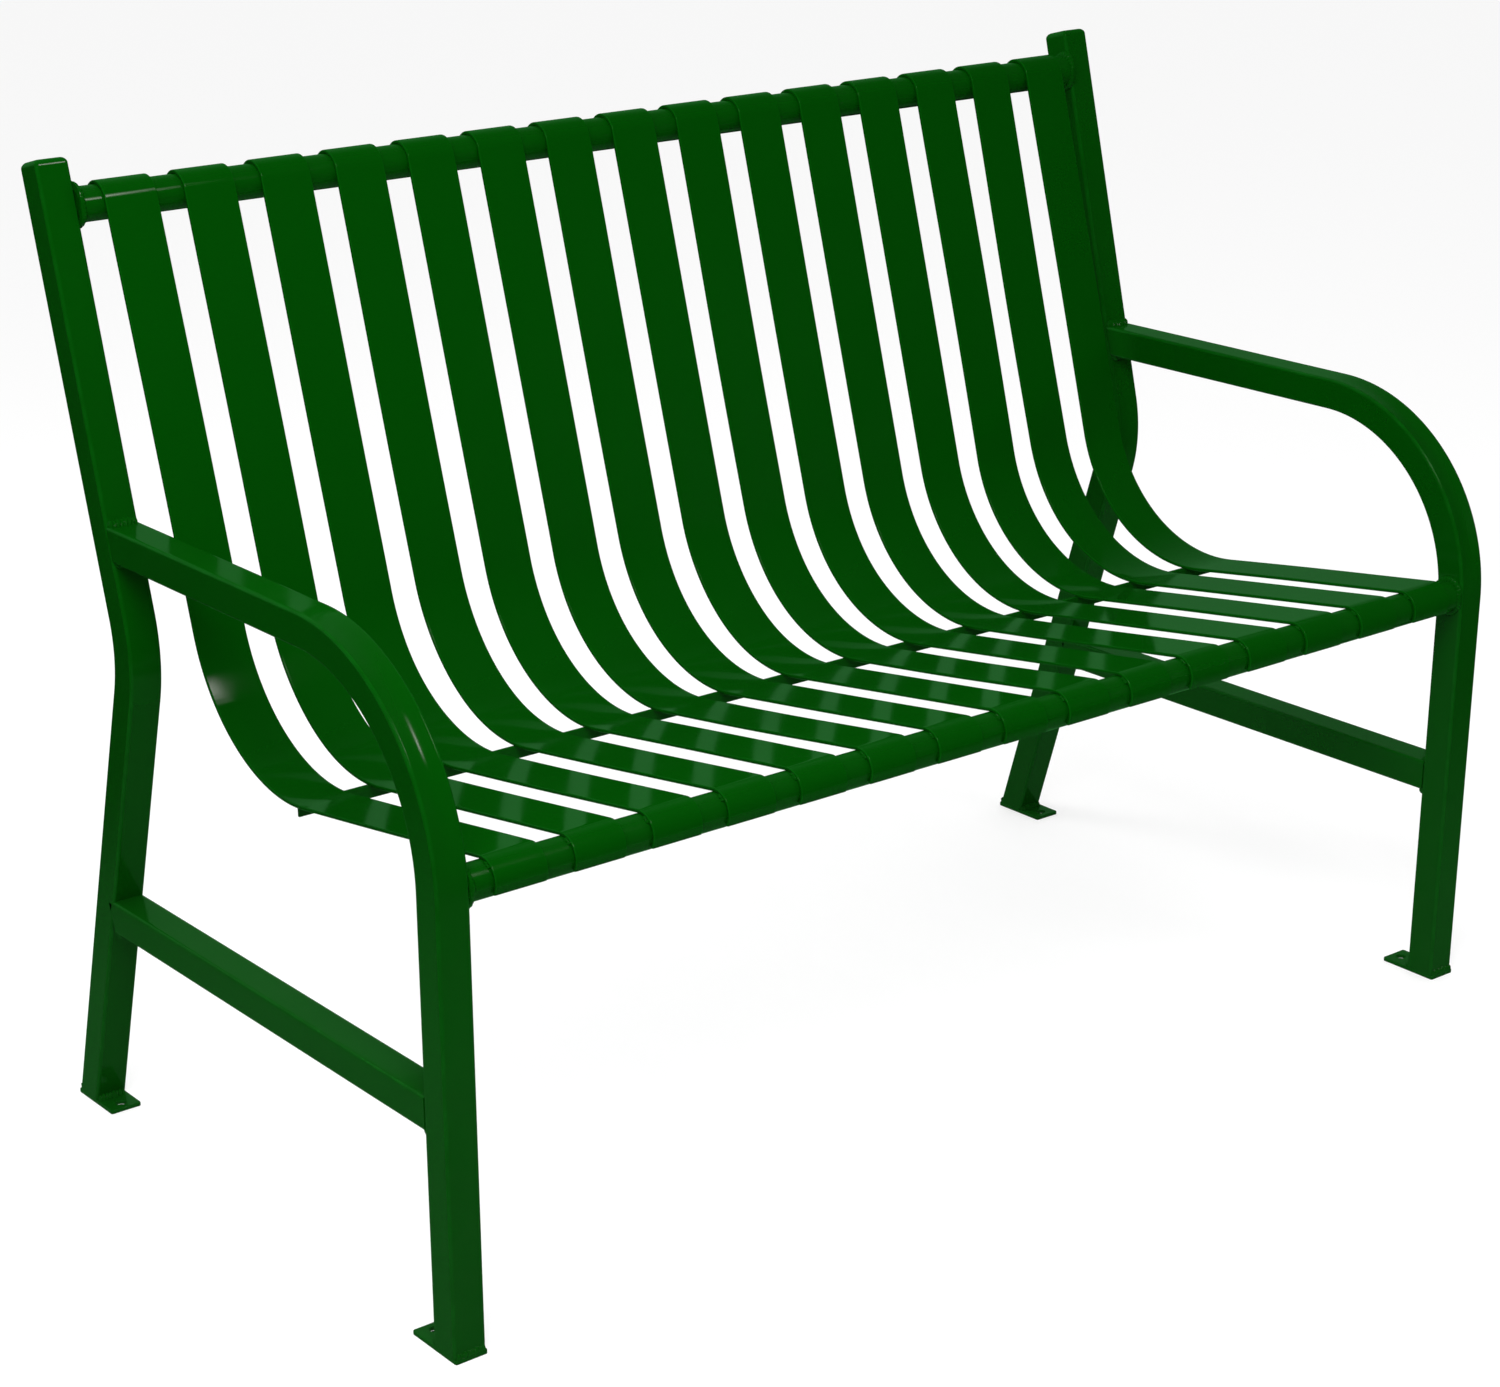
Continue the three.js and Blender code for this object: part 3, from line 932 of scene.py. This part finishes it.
def add_node(tree, kind, settings=None, **inputs):
    """A node with its settings applied. Inputs are given by socket name, with spaces written as
    underscores, or by number, as _0: a value is stored in the socket, and another node's socket
    is linked to it."""
    node = tree.nodes.new(kind)
    for key, value in (settings or {}).items():
        setattr(node, key, value)
    for key, value in inputs.items():
        plain = key.replace("_", " ")
        socket = node.inputs[int(key[1:]) if key[1:].isdigit() else plain]
        if isinstance(value, bpy.types.NodeSocket):
            tree.links.new(value, socket)
        else:
            socket.default_value = value
    return node


def noise(tree, vector, scale, detail, roughness=0.5):
    """Noise from 0 to 1: scale is waves per metre."""
    node = add_node(tree, "ShaderNodeTexNoise", Vector=vector, Scale=scale, Detail=detail,
                    Roughness=roughness)
    return node.outputs["Fac"]


def math_node(tree, operation, first, second=0.0, clamp=False):
    """One arithmetic step."""
    settings = {"operation": operation, "use_clamp": clamp}
    return add_node(tree, "ShaderNodeMath", settings, _0=first, _1=second).outputs[0]


def vector_math(tree, operation, first, second=(0, 0, 0), out="Value"):
    """One step of vector arithmetic."""
    settings = {"operation": operation}
    return add_node(tree, "ShaderNodeVectorMath", settings, _0=first, _1=second).outputs[out]


def remap(tree, value, low, high, to_low, to_high):
    """Straight-line change of range, clamped."""
    node = add_node(tree, "ShaderNodeMapRange", {"clamp": True}, Value=value, From_Min=low,
                    From_Max=high, To_Min=to_low, To_Max=to_high)
    return node.outputs["Result"]


def blend_colour(tree, amount, first, second):
    """Mix of two colours."""
    node = add_node(tree, "ShaderNodeMix", {"data_type": "RGBA"}, _0=amount, _6=first, _7=second)
    return node.outputs[2]


def empty_material(name):
    """A material with nothing in its node tree."""
    material = bpy.data.materials.new(name)
    material.use_nodes = True
    material.node_tree.nodes.clear()
    return material


# %% [markdown]
# Orange peel: two sizes of soft noise, a few millimetres and about a centimetre across, and
# only microns high, plus rare small nibs.

# %% Orange peel group
FLOAT = "NodeSocketFloat"
COLOUR = "NodeSocketColor"
VECTOR = "NodeSocketVector"


def orange_peel_group():
    """Height in metres: peel * (fine noise + coarse noise) + nibs above a threshold."""
    group, given, result = new_group(
        "orange_peel",
        {"Vector": (VECTOR, (0, 0, 0)), "Peel": (FLOAT, 0.00001), "Nib": (FLOAT, 0.00003)},
        {"Height": FLOAT})
    place = given.outputs["Vector"]
    fine = noise(group, place, scale=420.0, detail=2.0)
    coarse = noise(group, place, scale=95.0, detail=2.0)
    both = math_node(group, "ADD", fine, math_node(group, "MULTIPLY", coarse, 2.2))
    peel = math_node(group, "MULTIPLY", both, given.outputs["Peel"])
    cells = add_node(group, "ShaderNodeTexVoronoi", Vector=place, Scale=60.0)
    dot = remap(group, cells.outputs["Distance"], 0.0, 0.075, 1.0, 0.0)
    chosen = remap(group, noise(group, place, scale=22.0, detail=1.0), 0.6, 0.64, 0.0, 1.0)
    dots = math_node(group, "MULTIPLY", dot, chosen)
    nibs = math_node(group, "MULTIPLY", dots, given.outputs["Nib"])
    group.links.new(math_node(group, "ADD", peel, nibs), result.inputs["Height"])
    return group


# %% [markdown]
# Colour: the green drifts slightly in depth over a hand's breadth and again over a few
# millimetres, and goes lighter and yellower on rolled corners and rims where the coat is thin.

# %% Coat colour group
def coat_colour_group():
    """Colour = green * (1 + drift), blended to the thin-coat green by the edge mask."""
    group, given, result = new_group(
        "coat_colour",
        {"Vector": (VECTOR, (0, 0, 0)), "Green": (COLOUR, (0, 0.07, 0, 1)),
         "Thin": (COLOUR, (0, 0.1, 0, 1)), "Drift": (FLOAT, 0.1), "Edge": (FLOAT, 0.0)},
        {"Colour": COLOUR})
    place = given.outputs["Vector"]
    wide = math_node(group, "MULTIPLY", noise(group, place, 7.0, 3.0, roughness=0.55), 0.7)
    small = math_node(group, "MULTIPLY", noise(group, place, scale=160.0, detail=2.0), 0.3)
    both = math_node(group, "ADD", wide, small)
    centred = math_node(group, "SUBTRACT", both, 0.5)
    swing = math_node(group, "MULTIPLY", centred, given.outputs["Drift"])
    value = math_node(group, "ADD", swing, 1.0)
    toned = add_node(group, "ShaderNodeHueSaturation", Color=given.outputs["Green"], Value=value)
    patchy = remap(group, noise(group, place, scale=55.0, detail=3.0), 0.35, 0.65, 0.25, 1.0)
    mask = math_node(group, "MULTIPLY", given.outputs["Edge"], patchy, clamp=True)
    colour = blend_colour(group, mask, toned.outputs["Color"], given.outputs["Thin"])
    group.links.new(colour, result.inputs["Colour"])
    return group


# %% [markdown]
# Ground film: rain splash and dust leave a faint grey-green veil, strongest in the lowest
# hand's breadths and on faces that look up, broken up by noise.

# %% Ground film group
def ground_film_group():
    """Mask = (low weight * height falloff + up weight * upward face) * blotches."""
    group, given, result = new_group(
        "ground_film",
        {"Vector": (VECTOR, (0, 0, 0)), "Normal": (VECTOR, (0, 0, 1)), "Low": (FLOAT, 0.1),
         "Up": (FLOAT, 0.02)},
        {"Mask": FLOAT})
    place = given.outputs["Vector"]
    height = add_node(group, "ShaderNodeSeparateXYZ", Vector=place).outputs["Z"]
    facing = add_node(group, "ShaderNodeSeparateXYZ", Vector=given.outputs["Normal"]).outputs["Z"]
    near_ground = remap(group, height, 0.0, 0.5, 1.0, 0.0)
    low = math_node(group, "MULTIPLY", near_ground, given.outputs["Low"])
    upward = remap(group, facing, 0.2, 1.0, 0.0, 1.0)
    up = math_node(group, "MULTIPLY", upward, given.outputs["Up"])
    blotches = remap(group, noise(group, place, 30.0, 4.0, roughness=0.6), 0.3, 0.75, 0.5, 1.3)
    mask = math_node(group, "MULTIPLY", math_node(group, "ADD", low, up), blotches, clamp=True)
    group.links.new(mask, result.inputs["Mask"])
    return group


orange_peel = orange_peel_group()
coat_colour = coat_colour_group()
ground_film = ground_film_group()
print("node groups:", [group.name for group in (orange_peel, coat_colour, ground_film)])

# %% [markdown]
# Frame and straps come out of the same oven, but the straps are flatter stock and flow out
# glossier than the rolled tube, so they are one recipe with slightly different values.

# %% Powder coat
DEEP_GREEN = (0.0003, 0.050, 0.0006, 1)
THIN_GREEN = (0.0010, 0.064, 0.0020, 1)
FILM_GREY = (0.090, 0.150, 0.095, 1)


def powder_coat(name, peel, drift, rough_low, rough_high, film_low, film_up):
    """Gloss powder coat: groups give colour, roughness and height; the shader is here."""
    material = empty_material(name)
    tree = material.node_tree
    place = add_node(tree, "ShaderNodeTexCoord").outputs["Object"]
    facing = add_node(tree, "ShaderNodeNewGeometry").outputs["Normal"]
    edge = add_node(tree, "ShaderNodeAttribute", {"attribute_name": "edge"}).outputs["Fac"]
    colour = add_node(tree, "ShaderNodeGroup", {"node_tree": coat_colour}, Vector=place,
                      Green=DEEP_GREEN, Thin=THIN_GREEN, Drift=drift, Edge=edge)
    film = add_node(tree, "ShaderNodeGroup", {"node_tree": ground_film}, Vector=place,
                    Normal=facing, Low=film_low, Up=film_up)
    height = add_node(tree, "ShaderNodeGroup", {"node_tree": orange_peel}, Vector=place, Peel=peel)
    base = blend_colour(tree, film.outputs["Mask"], colour.outputs["Colour"], FILM_GREY)
    cloud = remap(tree, noise(tree, place, scale=18.0, detail=3.0), 0.3, 0.7, rough_low, rough_high)
    dull = math_node(tree, "MULTIPLY", film.outputs["Mask"], 0.5)
    rough = math_node(tree, "ADD", cloud, dull)
    bump = add_node(tree, "ShaderNodeBump", Strength=1.0, Distance=1.0,
                    Height=height.outputs["Height"])
    shader = add_node(tree, "ShaderNodeBsdfPrincipled", Base_Color=base, Roughness=rough,
                      IOR=1.5, Normal=bump.outputs["Normal"])
    add_node(tree, "ShaderNodeOutputMaterial", Surface=shader.outputs["BSDF"])
    return material


frame_coat = powder_coat("frame_powder_coat", peel=0.0000035, drift=0.24, rough_low=0.10,
                         rough_high=0.16, film_low=0.02, film_up=0.006)
strap_coat = powder_coat("strap_powder_coat", peel=0.0000025, drift=0.16, rough_low=0.06,
                         rough_high=0.11, film_low=0.01, film_up=0.004)
for name in made:
    is_strap = name.startswith("strap") and name.endswith("_steel")
    bpy.data.objects[name].data.materials.append(strap_coat if is_strap else frame_coat)
print("materials:", frame_coat.name, strap_coat.name)

# %% [markdown]
# ## Floor and light
#
# The bench stands on a white paper floor in a plain studio, with the lamps above it and a room
# round it that lights the sides that no lamp reaches.
#
# Gloss paint is a mirror at low angles, and a white room would drown the green in it. So what
# the paint mirrors is dimmer than what lights it: a dim backdrop behind the bench, darkness
# behind the camera, and a dim pool of floor round the feet. For the camera the paper glows a
# little, as lit paper does, except inside the bolt holes, where hardly any light gets in: there
# the floor is given a dark green, a painted shade.

# %% Floor
FLOOR_HALF = 150.0
FLOOR_CELLS = 20
PAPER_WHITE = (0.45, 0.45, 0.45, 1)
PAPER_BOUNCE = (0.42, 0.42, 0.42, 1)
PAPER_GLOW = 0.58
POOL_BRIGHT = (0.042, 0.190, 0.055, 1)
POOL_DARK = (0.006, 0.014, 0.007, 1)
POOL_REACH = (1.15, 0.95)
POOL_FADE = (0.85, 1.45)
# Painted shade: the dark green that the camera sees on the floor inside each bolt hole.
HOLE_PAINTED_SHADE = (0.010, 0.045, 0.012, 1)


def bolt_holes():
    """Where the four bolt holes stand on the floor."""
    places = []
    for side, x in FRAMES.items():
        places.append((x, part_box(f"{side}_front_foot_plate")[1].y - HOLE_TO_END, 0))
        places.append((x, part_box(f"{side}_rear_foot_plate")[0].y + HOLE_TO_END, 0))
    return places


def floor_sheet():
    """A square grid of points at height zero, FLOOR_HALF each way."""
    across = np.linspace(-FLOOR_HALF, FLOOR_HALF, FLOOR_CELLS + 1)
    x, y = np.meshgrid(across, across, indexing="ij")
    points = np.stack([x, y, np.zeros_like(x)], axis=-1).reshape(-1, 3)
    row, column = np.meshgrid(np.arange(FLOOR_CELLS), np.arange(FLOOR_CELLS), indexing="ij")
    start = (row * (FLOOR_CELLS + 1) + column).ravel()
    quads = start[:, None] + np.array([0, FLOOR_CELLS + 1, FLOOR_CELLS + 2, 1])
    mesh = bpy.data.meshes.new("studio_floor")
    mesh.from_pydata(points.tolist(), [], quads.tolist())
    sheet = bpy.data.objects.new("studio_floor", mesh)
    bpy.context.scene.collection.objects.link(sheet)
    return sheet


def by_ray(tree, camera, glossy, other):
    """A shader for what the camera sees, one for what gloss mirrors and one for the rest."""
    rays = add_node(tree, "ShaderNodeLightPath").outputs
    unseen = add_node(tree, "ShaderNodeMixShader", _0=rays["Is Glossy Ray"],
                      _1=other.outputs[0], _2=glossy.outputs[0])
    seen = add_node(tree, "ShaderNodeMixShader", _0=rays["Is Camera Ray"],
                    _1=unseen.outputs[0], _2=camera.outputs[0])
    return seen.outputs[0]


def paper():
    """White paper: matt, with a glow that only the camera sees and a dim pool that only the
    gloss mirrors. The pool fades with the root of (x / reach_x)^2 + (y / reach_y)^2. The camera
    sees neither glow nor white inside a bolt hole."""
    material = empty_material("studio_paper")
    tree = material.node_tree
    place = add_node(tree, "ShaderNodeTexCoord").outputs["Object"]
    shrink = (1 / POOL_REACH[0], 1 / POOL_REACH[1], 0)
    scaled = vector_math(tree, "MULTIPLY", place, shrink, out="Vector")
    fade = remap(tree, vector_math(tree, "LENGTH", scaled), *POOL_FADE, 0.0, 1.0)
    pool_colour = blend_colour(tree, fade, POOL_BRIGHT, POOL_DARK)
    pool = add_node(tree, "ShaderNodeEmission", Color=pool_colour)
    bounce = add_node(tree, "ShaderNodeBsdfDiffuse", Color=PAPER_BOUNCE)
    matt = add_node(tree, "ShaderNodeBsdfDiffuse", Color=PAPER_WHITE)
    glow = add_node(tree, "ShaderNodeEmission", Color=(1, 1, 1, 1), Strength=PAPER_GLOW)
    lit = add_node(tree, "ShaderNodeAddShader", _0=matt.outputs[0], _1=glow.outputs[0])
    uncovered = 1.0
    for hole in bolt_holes():
        apart = vector_math(tree, "DISTANCE", place, hole)
        outside = math_node(tree, "GREATER_THAN", apart, HOLE_RADIUS)
        uncovered = math_node(tree, "MULTIPLY", outside, uncovered)
    # Inside each bolt hole the camera sees this dark green instead of the glowing paper: painted
    # shade, since hardly any light reaches the floor under the plate.
    dark = add_node(tree, "ShaderNodeBsdfDiffuse", Color=HOLE_PAINTED_SHADE)
    shown = add_node(tree, "ShaderNodeMixShader", _0=uncovered, _1=dark.outputs[0],
                     _2=lit.outputs[0])
    add_node(tree, "ShaderNodeOutputMaterial", Surface=by_ray(tree, shown, pool, bounce))
    return material


floor = floor_sheet()
floor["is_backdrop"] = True
floor.data.materials.append(paper())
print("bolt holes on the floor:", [[round(v, 3) for v in place] for place in bolt_holes()])

# %% [markdown]
# A wide softbox above the left end lights the green, so the light falls off gently along the
# bench. A smaller lamp behind it and a paper globe off its right end keep the far sides from
# going black. The gloss mirrors none of the three.

# %% Lamps
def area_lamp(name, place, aim, length, width, turn, power, colour=(1, 1, 1)):
    """A rectangular lamp at place that faces aim, with its long side turned about its axis."""
    data = bpy.data.lights.new(name, "AREA")
    data.shape = "RECTANGLE"
    data.size = length
    data.size_y = width
    data.energy = power
    data.color = colour
    box = bpy.data.objects.new(name, data)
    facing = (Vector(place) - Vector(aim)).to_track_quat("Z", "Y").to_matrix().to_4x4()
    about_axis = Matrix.Rotation(math.radians(turn), 4, "Z")
    box.matrix_world = Matrix.Translation(place) @ facing @ about_axis
    box.visible_camera = False
    bpy.context.scene.collection.objects.link(box)
    return box


softbox = area_lamp("softbox", place=(-1.3, -1.35, 2.25), aim=(-0.3, 0.0, 0.5), length=1.6,
                    width=1.2, turn=0, power=61.0)
softbox.visible_glossy = False
backlight = area_lamp("backlight", place=(-0.42, 1.5, 2.3), aim=(-0.3, 0.2, 0.6), length=0.8,
                      width=0.3, turn=0, power=12.0)
backlight.visible_glossy = False

GLOBE_PLACE = (1.2, -1.5, 0.9)
GLOBE_RADIUS = 0.25
GLOBE_POWER = 15.0
globe_data = bpy.data.lights.new("paper_globe", "POINT")
globe_data.shadow_soft_size = GLOBE_RADIUS
globe_data.energy = GLOBE_POWER
globe = bpy.data.objects.new("paper_globe", globe_data)
globe.location = GLOBE_PLACE
globe.visible_camera = False
globe.visible_glossy = False
bpy.context.scene.collection.objects.link(globe)

# %% [markdown]
# The strip lamp is a stack of sheets of light on one axis, each wider and weaker than the last,
# so that its mirror image has a bright core and no hard edge, as a lamp behind cloth has. Only
# the gloss sees it, and only directly: a strap's mirror image in an armrest doesn't repeat the
# lamp, because the light counts the glossy bounces on the way.

# %% Strip lamp
STRIP_PLACE = (0.355, -1.41, 2.0)
STRIP_TURN = 106
STRIP_COLOUR = (1, 0.95, 0.93)
STRIP_SHEETS = [(0.30, 0.08, 3.8), (0.52, 0.14, 2.6), (0.78, 0.20, 1.7), (1.05, 0.26, 0.9)]
SHEET_STEP = 0.01
DIRECT_LIMIT = 1.5

for number, (length, width, radiance) in enumerate(STRIP_SHEETS):
    power = math.pi * length * width * radiance
    place = Vector(STRIP_PLACE) + Vector((0, 0, SHEET_STEP * number))
    aim = place - Vector((0, 0.01, 1))
    sheet = area_lamp(f"strip_sheet_{number}", place, aim, length, width, STRIP_TURN, power,
                      STRIP_COLOUR)
    sheet.visible_diffuse = False
    sheet.data.use_nodes = True
    tree = sheet.data.node_tree
    bounces = add_node(tree, "ShaderNodeLightPath").outputs["Glossy Depth"]
    direct = math_node(tree, "LESS_THAN", bounces, DIRECT_LIMIT)
    tree.links.new(direct, tree.nodes["Emission"].inputs["Strength"])

# %% [markdown]
# The room is three things at once. The camera sees one even backdrop, the gloss mirrors a dim
# room that is darkest behind the camera, and everything else is lit by a room that is brighter
# from behind and from the left.

# %% Room
BACKDROP = (0.93, 0.93, 0.93, 1)
ROOM_LIGHT = 0.39
REAR_EXTRA = 1.10
LEFT_EXTRA = 0.36
REAR_WARD = (0.6, 0.8, 0)
DIM_BEHIND = (0.050, 0.200, 0.068, 1)
DARK_AHEAD = (0.004, 0.005, 0.004, 1)

world = bpy.data.worlds.new("studio")
world.use_nodes = True
bpy.context.scene.world = world
tree = world.node_tree
tree.nodes.clear()
towards = add_node(tree, "ShaderNodeTexCoord").outputs["Generated"]
parts = add_node(tree, "ShaderNodeSeparateXYZ", Vector=towards).outputs
behind = remap(tree, parts["Y"], 0.15, 0.75, 0.0, 1.0)
mirrored = blend_colour(tree, behind, DARK_AHEAD, DIM_BEHIND)
rearward = vector_math(tree, "DOT_PRODUCT", towards, REAR_WARD)
rear = remap(tree, rearward, -0.1, 0.8, 0.0, REAR_EXTRA)
left = remap(tree, parts["X"], -0.9, -0.2, LEFT_EXTRA, 0.0)
strength = math_node(tree, "ADD", math_node(tree, "ADD", rear, left), ROOM_LIGHT)
room = add_node(tree, "ShaderNodeBackground", Color=(1, 1, 1, 1), Strength=strength)
gloss = add_node(tree, "ShaderNodeBackground", Color=mirrored)
sweep = add_node(tree, "ShaderNodeBackground", Color=BACKDROP)
add_node(tree, "ShaderNodeOutputWorld", Surface=by_ray(tree, sweep, gloss, room))
bpy.context.scene.view_settings.view_transform = "Standard"
print("lamps:", [light.name for light in bpy.data.lights])

visual_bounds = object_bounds()
for label, box in (("CAD", cad_bounds), ("visual", visual_bounds)):
    print(label, "box:", [[round(v, 4) for v in corner] for corner in box])
